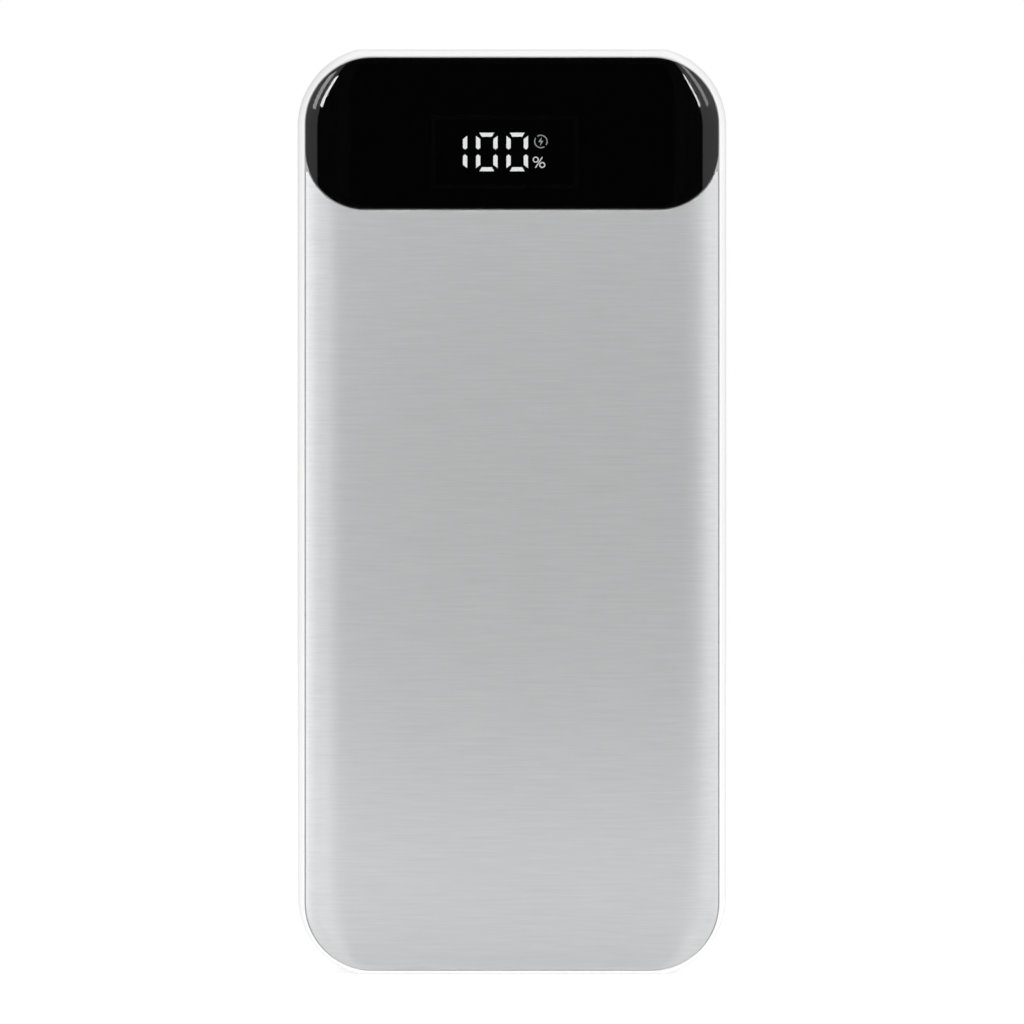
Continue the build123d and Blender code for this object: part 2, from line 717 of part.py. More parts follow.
# ---- all nodes ----
def nodes():
    left, right = USB_A_X
    return {
        "back_shell": back_shell(),
        "front_frame": front_frame(),
        "front_panel": front_panel(),
        "display_lens": display_lens(),
        "panel_tape": panel_tape(),
        "lens_tape": lens_tape(),
        "shell_screws": shell_screws(),
        "display_housing": display_housing(),
        "lit_segments": lit_segments(),
        "unlit_segments": unlit_segments(),
        "percent_symbol": percent_symbol(),
        "bolt_symbol": bolt_symbol(),
        "display_board": display_board(),
        "display_gasket": display_gasket(),
        "display_ribbon": display_ribbon(),
        "ribbon_socket": ribbon_socket(),
        "main_board": main_board(),
        "board_screws": board_screws(),
        "power_inductor": power_inductor(),
        "controller_chip": controller_chip(),
        "mosfets": mosfets(),
        "ceramic_capacitors": ceramic_capacitors(),
        "chip_resistors": chip_resistors(),
        "bulk_capacitors": bulk_capacitors(),
        "usb_a_left_shell": usb_a_shell(left),
        "usb_a_left_tongue": usb_a_tongue(left),
        "usb_a_left_contacts": usb_a_contacts(left),
        "usb_a_right_shell": usb_a_shell(right),
        "usb_a_right_tongue": usb_a_tongue(right),
        "usb_a_right_contacts": usb_a_contacts(right),
        "usb_c_shell": usb_c_shell(),
        "usb_c_tongue": usb_c_tongue(),
        "usb_c_contacts": usb_c_contacts(),
        "power_button": power_button(),
        "switch_body": switch_body(),
        "switch_plunger": switch_plunger(),
        "front_cell": pouch_cell(FRONT_CELL_Y),
        "back_cell": pouch_cell(BACK_CELL_Y),
        "cell_bond_tape": cell_bond_tape(),
        "front_foam": front_foam(),
        "bottom_foam": bottom_foam(),
        "positive_strips": cell_strips(STRIP_X),
        "negative_strips": cell_strips(-STRIP_X),
        "thermistor": thermistor(),
        "thermistor_leads": thermistor_leads(),
    }


def main():
    os.makedirs("parts", exist_ok=True)
    for name, shape in nodes().items():
        solids = []
        for piece in shape if isinstance(shape, list) else [shape]:
            solids += piece.solids()
        export_step(Compound(children=solids), f"parts/{name}.step")


main()
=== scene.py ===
"""Looks of a power bank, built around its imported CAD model.

The sizes below are millimetres in the part's own frame: X right, Y from front to back, Z up.
The case, the skin and the button are modelled here, as rings of points joined into surfaces.
"""

import json
import math

import bmesh
import bpy
from mathutils import Matrix, Vector


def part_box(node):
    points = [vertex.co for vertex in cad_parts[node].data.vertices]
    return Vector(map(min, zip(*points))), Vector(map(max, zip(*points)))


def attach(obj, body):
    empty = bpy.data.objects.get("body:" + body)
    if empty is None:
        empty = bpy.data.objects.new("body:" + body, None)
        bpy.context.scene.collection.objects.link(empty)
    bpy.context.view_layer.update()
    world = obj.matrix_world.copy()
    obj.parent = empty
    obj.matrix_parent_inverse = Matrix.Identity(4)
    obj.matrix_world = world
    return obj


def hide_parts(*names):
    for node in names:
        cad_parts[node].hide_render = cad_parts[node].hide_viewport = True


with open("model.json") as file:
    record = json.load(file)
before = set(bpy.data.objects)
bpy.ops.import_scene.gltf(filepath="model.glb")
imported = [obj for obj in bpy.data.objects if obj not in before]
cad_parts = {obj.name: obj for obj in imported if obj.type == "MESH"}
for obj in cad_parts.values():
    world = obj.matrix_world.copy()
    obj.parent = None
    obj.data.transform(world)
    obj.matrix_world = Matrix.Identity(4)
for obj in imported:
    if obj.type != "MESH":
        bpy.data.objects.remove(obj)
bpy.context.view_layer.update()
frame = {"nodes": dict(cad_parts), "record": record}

MM = 0.001


def span(node):
    """Lowest and highest corner of a CAD node, in millimetres."""
    low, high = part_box(node)
    return low / MM, high / MM


def middle(node):
    low, high = span(node)
    return (low + high) / 2


# ---- places that the CAD model gives ----
SHELL_HIGH = span("back_shell")[1]
SKIN_LOW, SKIN_HIGH = span("front_panel")
LENS_LOW, LENS_HIGH = span("display_lens")
DISPLAY = middle("display_housing")
DISPLAY_LOW, DISPLAY_HIGH = span("display_housing")
HALF_W = SHELL_HIGH.x
LENGTH = SHELL_HIGH.z
BACK_Y = SHELL_HIGH.y
SKIN_Y = SKIN_LOW.y
RIM_Y = span("front_frame")[0].y

# ---- shape of the case ----
CORNER_R = 12.6
END_CUT = 0.3  # what the flat ends trim off the corner arcs
SIDE_R = 6.0  # rounding along the long sides
END_R = 1.2  # rounding along the ends
FADE = (0.08, 1.0)  # how far an edge faces sideways where the rounding changes
SPREAD = 1.42  # how much further the front's rounding reaches across than back
FULLNESS = 2.4  # 2 is an ellipse, and more starts the rounding more gently
WALL = 1.8
PARTING_Y = -5.0
SEAM_R = 0.14
SEAM_HALF_GAP = 0.03
LIP_INSET = 0.95
LIP_Y = -3.6
GROOVE_INSET = 0.85
GROOVE_Y = -3.5

# ---- shape of the skin ----
SKIN_T = 0.8
FLOOR_DEPTH = 1.0  # from the skin's front to the frame behind it
DECK_DEPTH = 2.2  # from the skin's front to the back of the frame's deck
SKIN_CORNER_R = 10.8
SKIN_GAP = 0.15
LENS_CORNER_R = 9.7
LENS_GAP = 0.1
PANEL_EDGE_R = 0.18
LENS_EDGE_R = 0.12
TIP_W = 0.2  # where the panel's tips beside the lens are cut off
LENS_ROLL_END = 7.8  # insets at which the lens and the panel have become flat
LENS_FLAT = 8.6
PANEL_ROLL_END = 8.0
FLOOR_INSETS = (8.5, 7.5, 6.5, 5.0, 4.0, 3.0, 2.0, 1.0, 0.0)  # rings of the floor under the skin

# ---- how finely round shapes are cut up ----
SIDE_STEPS = 14
ARC_STEPS = 26
END_STEPS = 6
ROLL_STEPS = 14
EDGE_STEPS = 5
CIRCLE_STEPS = 40
DOME_STEPS = 12
SHARP_ANGLE = math.radians(32)
WELD_DISTANCE = 1e-5


# ---- outlines ----
def mix(a, b, share):
    return a + (b - a) * share


def smooth(value):
    value = min(max(value, 0.0), 1.0)
    return value * value * (3 - 2 * value)


class Outline:
    """A rounded rectangle seen from the front. Its arcs may be trimmed flat at both ends."""

    def __init__(self, half_w, low, high, low_r, high_r, cut=0.0):
        self.half_w = half_w
        self.ends = {-1: low, 1: high}
        self.radii = {-1: low_r, 1: high_r}
        self.cut = cut

    def quarter(self, inset, up):
        """(x, z, how far the edge faces sideways) from the side's middle to the end's middle."""
        corner_r = self.radii[up]
        radius = corner_r - inset
        centre_x = self.half_w - corner_r
        centre_z = self.ends[up] - up * (corner_r - self.cut)
        side_z = (self.ends[-1] + self.ends[1]) / 2
        last = math.asin((radius - self.cut) / radius)
        points = []
        for i in range(SIDE_STEPS):
            points.append((self.half_w - inset, mix(side_z, centre_z, i / SIDE_STEPS), 1.0))
        for i in range(ARC_STEPS + 1):
            angle = last * i / ARC_STEPS
            x = centre_x + radius * math.cos(angle)
            points.append((x, centre_z + up * radius * math.sin(angle), math.cos(angle)))
        end_x = centre_x + radius * math.cos(last)
        for i in range(1, END_STEPS + 1):
            points.append((end_x * (1 - i / END_STEPS), self.ends[up] - up * inset, 0.0))
        return points

    def ring(self, inset=0.0):
        """The whole outline, moved inwards, anticlockwise from the middle of the right side."""
        upper = self.quarter(inset, 1)
        lower = self.quarter(inset, -1)
        left_upper = [(-x, z, s) for x, z, s in reversed(upper[:-1])]
        left_lower = [(-x, z, s) for x, z, s in lower[1:]]
        return upper + left_upper + left_lower + lower[-2:0:-1]


BODY = Outline(HALF_W, 0.0, LENGTH, CORNER_R, CORNER_R, END_CUT)
SKIN = Outline(SKIN_HIGH.x, SKIN_LOW.z, LENS_HIGH.z, SKIN_CORNER_R, SKIN_CORNER_R)
LENS = Outline(LENS_HIGH.x, LENS_LOW.z, LENS_HIGH.z, LENS_CORNER_R, SKIN_CORNER_R)


def inward(x, z):
    """How far a point lies inside the body's outline, and how far its nearest edge faces sideways."""
    past_x = abs(x) - (HALF_W - CORNER_R)
    past_z = abs(z - LENGTH / 2) - (LENGTH / 2 + END_CUT - CORNER_R)
    from_end = LENGTH / 2 - abs(z - LENGTH / 2)
    if past_z <= 0:
        return HALF_W - abs(x), 1.0
    if past_x <= 0:
        return from_end, 0.0
    reach = math.hypot(past_x, past_z)
    return min(CORNER_R - reach, from_end), past_x / reach


def roll_radius(sideways, side_r):
    """Rounding where the edge faces sideways by this much."""
    share = smooth((sideways - FADE[0]) / (FADE[1] - FADE[0]))
    return mix(END_R, side_r, share)


def sunk(depth, radius):
    """How far a rounded edge has fallen away at this depth inside the outline."""
    share = min(max(1 - depth / (SPREAD * radius), 0.0), 1.0)
    return radius * (1 - (1 - share**FULLNESS) ** (1 / FULLNESS))


def skin_y(x, z):
    """Front surface of the panel and the lens."""
    depth, sideways = inward(x, z)
    return SKIN_Y + sunk(depth, roll_radius(sideways, SIDE_R))


# ---- meshes ----
def finished(name, mesh, material):
    """Object made of a closed mesh in millimetres, scaled to metres and shaded smooth between sharp edges."""
    shape = bmesh.new()
    shape.from_mesh(mesh)
    bmesh.ops.remove_doubles(shape, verts=shape.verts, dist=WELD_DISTANCE)
    bmesh.ops.recalc_face_normals(shape, faces=shape.faces)
    bmesh.ops.scale(shape, vec=Vector((MM, MM, MM)), verts=shape.verts)
    shape.to_mesh(mesh)
    shape.free()
    mesh.name = name
    mesh.shade_smooth()
    mesh.set_sharp_from_angle(angle=SHARP_ANGLE)
    mesh.materials.clear()
    mesh.materials.append(material)
    piece = bpy.data.objects.new(name, mesh)
    bpy.context.scene.collection.objects.link(piece)
    return piece


def loft(rings):
    """Closed mesh through rings that have the same number of (x, y, z) points."""
    shape = bmesh.new()
    loops = [[shape.verts.new(point) for point in ring] for ring in rings]
    for before, after in zip(loops, loops[1:]):
        join_loops(shape, before, after)
    shape.faces.new(loops[0])
    shape.faces.new(reversed(loops[-1]))
    return to_mesh(shape)


def join_loops(shape, before, after):
    count = len(before)
    for i in range(count):
        j = (i + 1) % count
        shape.faces.new((before[i], before[j], after[j], after[i]))


def to_mesh(shape):
    bmesh.ops.recalc_face_normals(shape, faces=shape.faces)
    mesh = bpy.data.meshes.new("shape")
    shape.to_mesh(mesh)
    shape.free()
    return mesh


def changed(mesh, added=(), removed=()):
    """The mesh with other closed meshes joined to it, and then others cut out of it."""
    body = bpy.data.objects.new("body", mesh)
    bpy.context.scene.collection.objects.link(body)
    tools = []
    for operation, group in (("UNION", added), ("DIFFERENCE", removed)):
        for other in group:
            tool = bpy.data.objects.new("tool", other)
            bpy.context.scene.collection.objects.link(tool)
            modifier = body.modifiers.new("shape", "BOOLEAN")
            modifier.operation = operation
            modifier.object = tool
            tools.append(tool)
    graph = bpy.context.evaluated_depsgraph_get()
    result = bpy.data.meshes.new_from_object(body.evaluated_get(graph))
    for extra in [body, *tools]:
        bpy.data.objects.remove(extra)
    return result


def rounded_ring(width, height, radius):
    """Points round a rounded rectangle about the origin, of a fixed number."""
    points = []
    corners = ((1, 1, 0), (-1, 1, 90), (-1, -1, 180), (1, -1, 270))
    for side_x, side_y, start in corners:
        for i in range(CIRCLE_STEPS // 4 + 1):
            angle = math.radians(start + 360 * i / CIRCLE_STEPS)
            x = side_x * (width / 2 - radius) + radius * math.cos(angle)
            points.append((x, side_y * (height / 2 - radius) + radius * math.sin(angle)))
    return points


def grown(size, more):
    """A rounded rectangle's (width, height, radius), larger by more all round."""
    width, height, radius = size
    return width + 2 * more, height + 2 * more, radius + more


def stack(levels, place):
    """Closed mesh through rounded rectangles at rising levels. place turns (a, b, level) into a point."""
    rings = []
    for level, size in levels:
        rings.append([place(a, b, level) for a, b in rounded_ring(*size)])
    return loft(rings)


def along_y(x, z):
    return lambda a, b, level: (x + a, level, z + b)


def along_z(x, y):
    return lambda a, b, level: (x + a, y + b, level)


def along_x(y, z):
    return lambda a, b, level: (level, y + a, z + b)


def round_pin(x, z, radius, low_y, high_y):
    size = (2 * radius, 2 * radius, radius)
    return stack([(low_y, size), (high_y, size)], along_y(x, z))


def block(x, y, z, edge=0.1):
    """Box between pairs of X, Y and Z with slightly rounded upright edges."""
    size = (x[1] - x[0], y[1] - y[0], edge)
    return stack([(z[0], size), (z[1], size)], along_z(sum(x) / 2, sum(y) / 2))


# ---- the skin ----
def sheet_edge(shape):
    """The boundary of an open sheet as a list of vertices in order."""
    edges = [edge for edge in shape.edges if len(edge.link_faces) == 1]
    neighbours = {}
    for edge in edges:
        for vertex in edge.verts:
            neighbours.setdefault(vertex, []).append(edge.other_vert(vertex))
    start = edges[0].verts[0]
    order = [start]
    following = neighbours[start][0]
    while following is not start:
        order.append(following)
        first, second = neighbours[following]
        following = second if first is order[-2] else first
    area = sum(a.co.x * b.co.z - b.co.x * a.co.z for a, b in zip(order, order[1:] + order[:1]))
    return order if area > 0 else order[::-1]


def outward(before, here, after):
    """Direction out of an anticlockwise boundary, long enough to move both its edges by 1."""
    normals = []
    for a, b in ((before, here), (here, after)):
        step = b.co - a.co
        normals.append(Vector((step.z, 0, -step.x)).normalized())
    middle_way = (normals[0] + normals[1]).normalized()
    return middle_way / max(middle_way.dot(normals[0]), 0.6)


def skin_mesh(shape, edge_r):
    """Gives an open sheet of the skin its curve, its rounded edge, its walls and its back."""
    for vertex in shape.verts:
        vertex.co.y = skin_y(vertex.co.x, vertex.co.z)
    edge = sheet_edge(shape)
    count = len(edge)
    ways = [outward(edge[i - 1], edge[i], edge[(i + 1) % count]) for i in range(count)]
    back = {}
    for vertex in list(shape.verts):
        back[vertex] = shape.verts.new(vertex.co + Vector((0, SKIN_T, 0)))
    for face in list(shape.faces):
        shape.faces.new([back[vertex] for vertex in reversed(face.verts)])
    loops = [edge]
    for step in range(1, EDGE_STEPS + 1):
        angle = math.pi / 2 * step / EDGE_STEPS
        loops.append(moved(shape, edge, ways, edge_r * math.sin(angle), edge_r * (1 - math.cos(angle))))
    loops.append(moved(shape, edge, ways, edge_r, SKIN_T))
    loops.append([back[vertex] for vertex in edge])
    for before, after in zip(loops, loops[1:]):
        join_loops(shape, before, after)
    return to_mesh(shape)


def moved(shape, loop, ways, distance, drop):
    """New vertices beside a loop of the skin: outwards by a distance, and behind its surface."""
    result = []
    for vertex, way in zip(loop, ways):
        spot = vertex.co + way * distance
        spot.y = skin_y(spot.x, spot.z) + drop
        result.append(shape.verts.new(spot))
    return result


def roll_insets(first, flat):
    """Insets from an edge inwards, closer together where the surface curves most."""
    steps = 2 * ROLL_STEPS
    return [mix(first, flat, (i / steps) ** 1.25) for i in range(steps + 1)]


def lens_sheet():
    shape = bmesh.new()
    loops = []
    for inset in roll_insets(LENS_EDGE_R, LENS_ROLL_END) + [LENS_FLAT]:
        loops.append([shape.verts.new((x, 0, z)) for x, z, _ in LENS.ring(inset)])
    for before, after in zip(loops, loops[1:]):
        join_loops(shape, before, after)
    shape.faces.new(loops[-1])
    return skin_mesh(shape, LENS_EDGE_R)


def panel_half():
    """Pairs of outer and inner points, from the panel's right tip to the middle of its plain end."""
    outer_x = SKIN.half_w - PANEL_EDGE_R
    low_z = SKIN.ends[-1] + PANEL_EDGE_R
    cove_r = LENS_CORNER_R + LENS_GAP + PANEL_EDGE_R  # round the lens's lower corner
    cove_x = LENS.half_w - LENS_CORNER_R
    cove_z = LENS_LOW.z + LENS_CORNER_R
    strip_w = outer_x - cove_x
    corner_r = SKIN_CORNER_R - PANEL_EDGE_R
    corner_x = outer_x - corner_r
    corner_z = low_z + corner_r
    tip_reach = strip_w - TIP_W
    tip_angle = math.acos(tip_reach / cove_r)
    pairs = []
    for i in range(ARC_STEPS + 1):
        angle = mix(tip_angle, math.pi / 2, i / ARC_STEPS)
        z = cove_z - cove_r * math.sin(angle)
        pairs.append(((outer_x, z), (cove_x + cove_r * math.cos(angle), z)))
    top_z = cove_z - cove_r
    for i in range(1, 2 * SIDE_STEPS):
        z = mix(top_z, corner_z, i / (2 * SIDE_STEPS))
        pairs.append(((outer_x, z), (cove_x, z)))
    for i in range(ARC_STEPS + 1):
        angle = math.pi / 2 * i / ARC_STEPS
        way = Vector((math.cos(angle), -math.sin(angle)))
        centre = Vector((corner_x, corner_z))
        pairs.append((centre + way * corner_r, centre + way * (corner_r - strip_w)))
    for i in range(1, END_STEPS + 1):
        x = corner_x * (1 - i / END_STEPS)
        pairs.append(((x, low_z), (x, low_z + strip_w)))
    return pairs, strip_w, top_z


def panel_sheet():
    """A strip round three sides of the panel, and the flat face inside it."""
    half, strip_w, top_z = panel_half()
    mirrored = [((-a[0], a[1]), (-b[0], b[1])) for a, b in reversed(half[:-1])]
    shares = [inset / strip_w for inset in roll_insets(0.0, PANEL_ROLL_END)] + [1.0]
    shape = bmesh.new()
    rungs = []
    for outer, inner in half + mirrored:
        rung = []
        for share in shares:
            x = mix(outer[0], inner[0], share)
            rung.append(shape.verts.new((x, 0, mix(outer[1], inner[1], share))))
        rungs.append(rung)
    for before, after in zip(rungs, rungs[1:]):
        for i in range(len(shares) - 1):
            shape.faces.new((before[i], after[i], after[i + 1], before[i + 1]))
    first = ARC_STEPS
    face_edge = [rung[-1] for rung in rungs[first : len(rungs) - first]]
    top = []
    for i in range(1, 4 * END_STEPS):
        x = mix(face_edge[-1].co.x, face_edge[0].co.x, i / (4 * END_STEPS))
        top.append(shape.verts.new((x, 0, top_z)))
    ledge = [face_edge[-2]]
    for vertex in top:
        ledge.append(shape.verts.new((vertex.co.x, 0, face_edge[1].co.z)))
    ledge.append(face_edge[1])
    upper = [face_edge[-1], *top, face_edge[0]]
    for i in range(len(upper) - 1):
        shape.faces.new((upper[i], ledge[i], ledge[i + 1], upper[i + 1]))
    shape.faces.new(face_edge[1:-1] + ledge[1:-1])
    return skin_mesh(shape, PANEL_EDGE_R)


# ---- the case ----
def body_ring(inset, y):
    return [(x, y, z) for x, z, _ in BODY.ring(inset)]


def rolled_ring(face_y, towards, side_r, turn, inset=0.0):
    """Ring on a rounded edge of the body. turn goes from 0 at the wall to 1 on the face.

    Past 1 the ring lies on the face, further in by that many millimetres.
    """
    angle = math.pi / 2 * min(turn, 1.0)
    ring = []
    for (x, z, sideways), (in_x, in_z, _) in zip(BODY.ring(inset), BODY.ring(inset + 1.0)):
        radius = max(roll_radius(sideways, side_r) - inset, 0.3)
        reach = radius * (1 - math.cos(angle)) + max(turn - 1.0, 0.0)
        y = face_y + towards * radius * (1 - math.sin(angle))
        ring.append((mix(x, in_x, reach), y, mix(z, in_z, reach)))
    return ring


def rim_rings():
    """The white border in front, from the skin's recess out to the side walls."""
    inner = SKIN.ring(-SKIN_GAP)
    outer = BODY.ring()
    side_r = SIDE_R - (RIM_Y - SKIN_Y)
    rings = []
    for step in range(ROLL_STEPS + 1):
        ring = []
        for (x, z, _), (out_x, out_z, sideways) in zip(inner, outer):
            depth = inward(x, z)[0]
            radius = roll_radius(sideways, side_r)
            start = math.acos(max(1 - depth / radius, 0.0))
            angle = start * (1 - step / ROLL_STEPS)
            here = min(radius * (1 - math.cos(angle)), depth) if step else depth
            share = 1 - here / depth
            ring.append((mix(x, out_x, share), RIM_Y + sunk(here, radius), mix(z, out_z, share)))
        rings.append(ring)
    return rings


def floor_ring(inset, depth):
    """Ring of the frame's deck, which runs parallel to the skin."""
    return [(x, skin_y(x, z) + depth, z) for x, z, _ in SKIN.ring(inset - SKIN_GAP)]


def seam(sign):
    """Rounded edges at the parting line. sign is -1 for the frame and 1 for the shell."""
    rings = []
    for step in range(4):
        angle = math.pi / 2 * step / 3
        inset = SEAM_R * (1 - math.cos(angle))
        y = PARTING_Y + sign * (SEAM_HALF_GAP + SEAM_R * (1 - math.sin(angle)))
        rings.append(body_ring(inset, y))
    return rings


def frame_mesh():
    rim = rim_rings()
    wall_top = [(x, y + 0.12, z) for x, y, z in rim[0]]
    rings = [floor_ring(inset, FLOOR_DEPTH) for inset in FLOOR_INSETS]
    rings += [wall_top] + rim
    rings += seam(-1)
    rings += [body_ring(LIP_INSET, PARTING_Y - SEAM_HALF_GAP), body_ring(LIP_INSET, LIP_Y - 0.1)]
    rings += [body_ring(LIP_INSET + 0.1, LIP_Y), body_ring(WALL, LIP_Y)]
    deck_y = SKIN_Y + DECK_DEPTH
    inner_r = SIDE_R - (DECK_DEPTH - WALL)
    for step in range(ROLL_STEPS + 1):
        rings.append(rolled_ring(deck_y, 1, inner_r, step / ROLL_STEPS, WALL))
    rings.append(rolled_ring(deck_y, 1, inner_r, 1.4, WALL))
    return loft(rings)


def shell_mesh():
    rings = [rolled_ring(BACK_Y, -1, SIDE_R, 1.5)]
    for step in range(ROLL_STEPS + 1):
        rings.append(rolled_ring(BACK_Y, -1, SIDE_R, 1 - step / ROLL_STEPS))
    rings += seam(1)
    rings += [body_ring(GROOVE_INSET, PARTING_Y + SEAM_HALF_GAP), body_ring(GROOVE_INSET, GROOVE_Y)]
    rings.append(body_ring(WALL, GROOVE_Y))
    inside_y = BACK_Y - WALL
    for step in range(ROLL_STEPS + 1):
        rings.append(rolled_ring(inside_y, -1, SIDE_R, step / ROLL_STEPS, WALL))
    rings.append(rolled_ring(inside_y, -1, SIDE_R, 1.5, WALL))
    return loft(rings)


# ---- posts, hooks and openings of the case ----
INNER_X = HALF_W - WALL
ROOT_Y = BACK_Y - WALL + 0.3  # where the shell's posts end inside its back wall
POST_FRONT_Y = SKIN_Y + 1.6  # where the frame's posts start inside its deck
AHEAD_Y = SKIN_Y - 1  # in front of everything
SCREW = Vector((29.4, 0, 121.5))  # the screws that join frame and shell
SCREW_SEAT_Y = SKIN_Y + 2.6
FRAME_POST_R = 2.8
SCREW_HOLE_R = 1.1
SCREW_HEAD_R = 2.1
SHELL_POST_R = 2.3
SHELL_HOLE_R = 1.0
STAKE_X = 13.3  # pins of the frame that hold the display's board
STAKE_R = 0.85
WINDOW_GAP = 0.3
HOOK_Z = (30.0, 75.0, 108.0)
HOOK_HALF_L = 4.0
HOOK_ROOT_Y = (-9.0, PARTING_Y - 0.2)
HOOK_TAB_Y = (-8.6, -0.7)
HOOK_BARB_Y = (-2.4, -1.2)
HOOK_POCKET_Y = (-2.7, -0.9)
BOARD_POSTS = ((22.0, 121.7), (24.9, 143.4))
BOARD_POST_R = 2.2
BOARD_POST_Y = 1.4
BOARD_HOLE_R = 0.85
RIB_X = 30.4
RIB_Z = (14.0, 55.0, 95.0)
RIB_HALF_T = 0.6
USB_A_MOUTH = (13.54, 6.12, 0.7)
USB_C_MOUTH = (9.34, 3.66, 1.829)


def ordered(*values):
    return tuple(sorted(values))


def about(middle_value, half):
    return middle_value - half, middle_value + half


def frame_details():
    """What is joined to the front frame and what is cut out of it."""
    window_w = DISPLAY_HIGH.x - DISPLAY_LOW.x + 2 * WINDOW_GAP
    window_h = DISPLAY_HIGH.z - DISPLAY_LOW.z + 2 * WINDOW_GAP
    window = (window_w, window_h, 0.4)
    added = []
    removed = [stack([(AHEAD_Y, window), (PARTING_Y - 3, window)], along_y(DISPLAY.x, DISPLAY.z))]
    for side in (1, -1):
        x = side * SCREW.x
        added.append(round_pin(x, SCREW.z, FRAME_POST_R, POST_FRONT_Y, PARTING_Y - 1.0))
        removed.append(round_pin(x, SCREW.z, SCREW_HOLE_R, AHEAD_Y, 0))
        removed.append(round_pin(x, SCREW.z, SCREW_HEAD_R, AHEAD_Y, SCREW_SEAT_Y))
        stake_x = DISPLAY.x + side * STAKE_X
        added.append(round_pin(stake_x, DISPLAY.z, STAKE_R, POST_FRONT_Y, DISPLAY_HIGH.y + 1.4))
        for z in HOOK_Z:
            added += hook(side, z)
    return added, removed


def hook(side, z):
    """Snap hook that reaches from the frame into the shell."""
    reach = about(z, HOOK_HALF_L)
    inner = side * (INNER_X - 1.3)
    root = block(ordered(inner, side * (INNER_X + 0.4)), HOOK_ROOT_Y, reach)
    tab = block(ordered(inner, side * (INNER_X - 0.1)), HOOK_TAB_Y, reach)
    barb_x = ordered(side * (INNER_X - 0.3), side * (INNER_X + 0.35))
    barb = block(barb_x, HOOK_BARB_Y, about(z, HOOK_HALF_L - 0.1))
    return [root, tab, barb]


def shell_details():
    """What is joined to the back shell and what is cut out of it."""
    added = []
    removed = []
    for x, z in BOARD_POSTS:
        for side in (1, -1):
            added.append(round_pin(side * x, z, BOARD_POST_R, BOARD_POST_Y, ROOT_Y))
            removed.append(round_pin(side * x, z, BOARD_HOLE_R, 0.0, 9.0))
    for side in (1, -1):
        x = side * SCREW.x
        added.append(round_pin(x, SCREW.z, SHELL_POST_R, PARTING_Y - 0.9, ROOT_Y))
        web = ordered(side * (SCREW.x + 1), side * (INNER_X + 0.3))
        added.append(block(web, (-3.0, ROOT_Y - 1), about(SCREW.z, RIB_HALF_T)))
        removed.append(round_pin(x, SCREW.z, SHELL_HOLE_R, PARTING_Y - 2, 5.0))
        rib = ordered(side * RIB_X, side * (INNER_X + 0.3))
        for z in RIB_Z:
            added.append(block(rib, (2.0, ROOT_Y - 1), about(z, RIB_HALF_T)))
        pocket = ordered(side * (INNER_X - 0.5), side * (INNER_X + 0.6))
        for z in HOOK_Z:
            removed.append(block(pocket, HOOK_POCKET_Y, about(z, HOOK_HALF_L + 0.4)))
    for node in ("usb_a_left_tongue", "usb_a_right_tongue"):
        removed.append(socket_opening(middle(node).x, USB_A_MOUTH))
    removed.append(socket_opening(0.0, USB_C_MOUTH))
    removed.append(button_opening())
    return added, removed


def lipped(size, inside, face, lip, towards):
    """Levels of a hole whose mouth is rounded off by lip where it meets the face."""
    levels = [(inside, size)]
    for step in range(EDGE_STEPS + 1):
        angle = math.pi / 2 * step / EDGE_STEPS
        level = face - towards * lip * (1 - math.sin(angle))
        levels.append((level, grown(size, lip * (1 - math.cos(angle)))))
    levels.append((face + towards, grown(size, lip)))
    return levels


def socket_opening(x, size):
    return stack(lipped(size, LENGTH - WALL - 1, LENGTH, 0.35, 1), along_z(x, 0.0))


# ---- the power button ----
BUTTON = middle("power_button")
BUTTON_FACE_X = span("power_button")[0].x
BUTTON_SIZE = (3.4, 8.6, 1.699)
BUTTON_Y = -1.5
BUTTON_DOME_R = 24.8


def button_opening():
    size = grown(BUTTON_SIZE, 0.2)
    levels = lipped(size, -INNER_X + 1, -HALF_W, 0.2, -1)
    return stack(levels, along_x(BUTTON_Y, BUTTON.z))


def button_ring(size):
    """A rounded rectangle with more points along its upright sides, so that a dome can bend them."""
    points = rounded_ring(*size)
    half = len(points) // 2
    upper = points[:half]
    lower = points[half:]
    ring = []
    for run, following in ((upper, lower[0]), (lower, upper[0])):
        ring += run
        y, z = run[-1]
        ring += [(y, mix(z, following[1], i / DOME_STEPS)) for i in range(1, DOME_STEPS)]
    return ring


def button_mesh():
    """Domed cap, the flange that keeps it in, and the stem behind."""
    rings = []
    edge = 0.35
    insets = [(inset, 0.0) for inset in (1.6, 1.3, 0.95, 0.6)]
    for step in range(EDGE_STEPS + 1):
        angle = math.pi / 2 * step / EDGE_STEPS
        insets.append((edge * (1 - math.sin(angle)), edge * (1 - math.cos(angle))))
    for inset, drop in insets:
        rings.append([])
        for y, z in button_ring(grown(BUTTON_SIZE, -inset)):
            dome = z * z / (2 * BUTTON_DOME_R)
            rings[-1].append((BUTTON_FACE_X + dome + drop, BUTTON_Y + y, BUTTON.z + z))
    flange = (4.8, 10.2, 2.399)
    flange_x = (-INNER_X + 0.3, -INNER_X + 1.2)
    stem = (1.6, 3.0, 0.2)
    stem_x = span("power_button")[1].x
    levels = [
        (flange_x[0], BUTTON_SIZE),
        (flange_x[0], flange),
        (flange_x[1], flange),
        (flange_x[1], stem),
        (stem_x, stem),
    ]
    for x, size in levels:
        rings.append([(x, BUTTON_Y + y, BUTTON.z + z) for y, z in button_ring(size)])
    return loft(rings)


